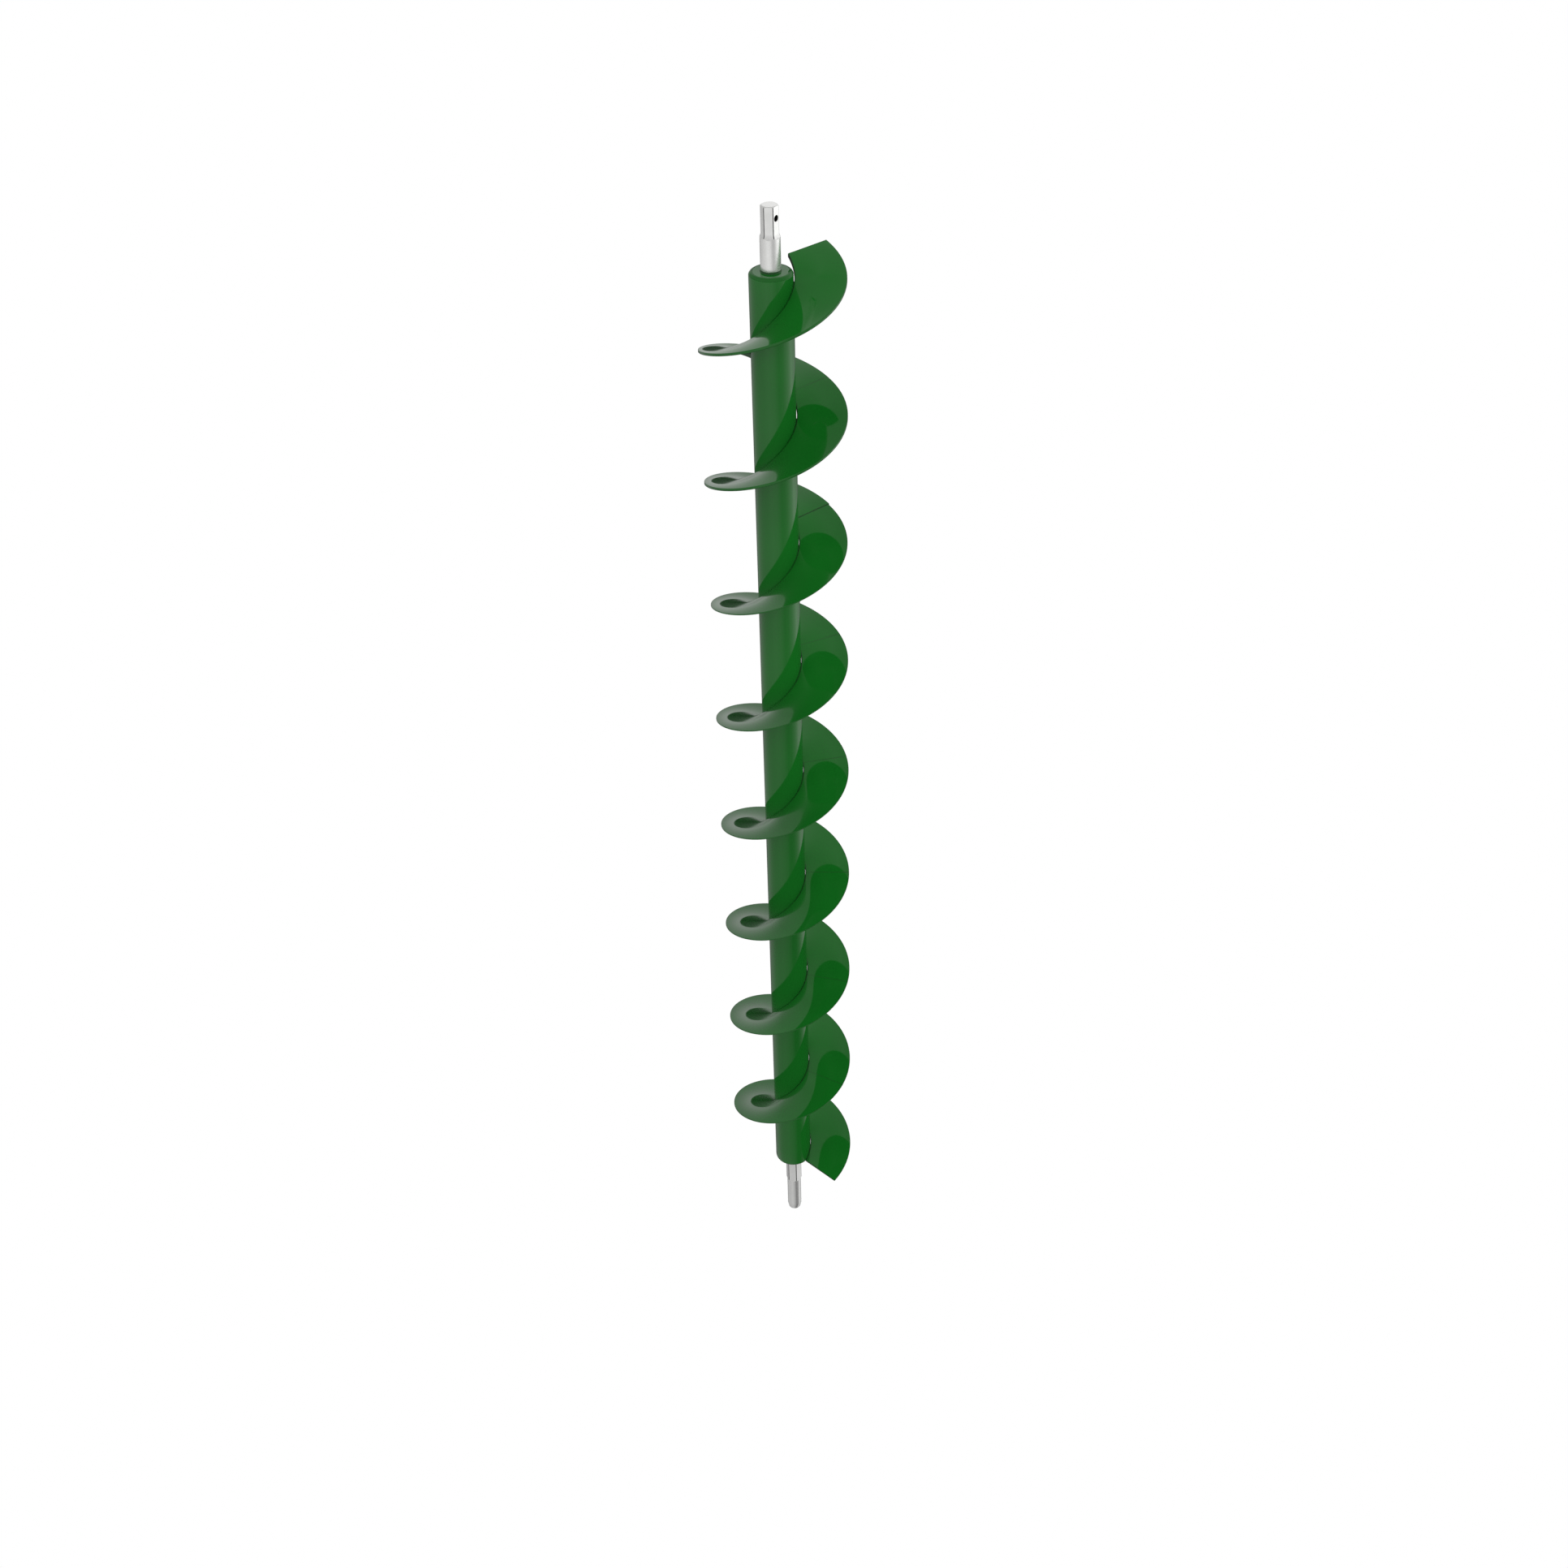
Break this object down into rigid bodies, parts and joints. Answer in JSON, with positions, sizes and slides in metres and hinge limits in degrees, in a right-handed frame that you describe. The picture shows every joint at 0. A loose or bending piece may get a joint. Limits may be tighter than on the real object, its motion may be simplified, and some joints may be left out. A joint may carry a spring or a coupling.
{
  "type": "auger rotor",
  "caption": "Conveying auger rotor: a painted tube with right-hand spiral flights and a steel stub shaft at each end, one round and hexagonal with a cross hole.",
  "frame": {"origin": "on the rotor's axis, at the tip of the idler stub shaft", "axes": "+Z along the rotor's axis, towards the drive end; +X is the direction from which the angles of the flights are counted"},
  "size_m": [0.162, 0.162, 1.4871],
  "materials": {
    "tube_paint": "semi-gloss enamel",
    "flight_paint": "semi-gloss enamel",
    "weld_paint": "semi-gloss enamel over a weld bead",
    "shaft_steel": "satin, turned and milled",
    "bare_steel": "dull, as sawn and welded"
  },
  "bodies": {
    "root": {"main_tube": "tube_paint", "drive_end_plug": "tube_paint", "drive_inner_disc": "bare_steel", "idler_end_plug": "tube_paint", "idler_inner_disc": "bare_steel", "drive_shaft": "shaft_steel", "idler_shaft": "shaft_steel", "drive_plug_weld": "weld_paint", "idler_plug_weld": "weld_paint", "drive_shaft_weld": "weld_paint", "idler_shaft_weld": "weld_paint", "drive_disc_weld": "bare_steel", "idler_disc_weld": "bare_steel", "main_flight_1": "flight_paint", "main_flight_2": "flight_paint", "main_flight_3": "flight_paint", "main_flight_4": "flight_paint", "main_flight_5": "flight_paint", "main_flight_6": "flight_paint", "drive_flight_1": "flight_paint", "drive_flight_2": "flight_paint", "flight_butt_welds": "weld_paint", "flight_root_welds": "weld_paint"}
  },
  "joints": []
}
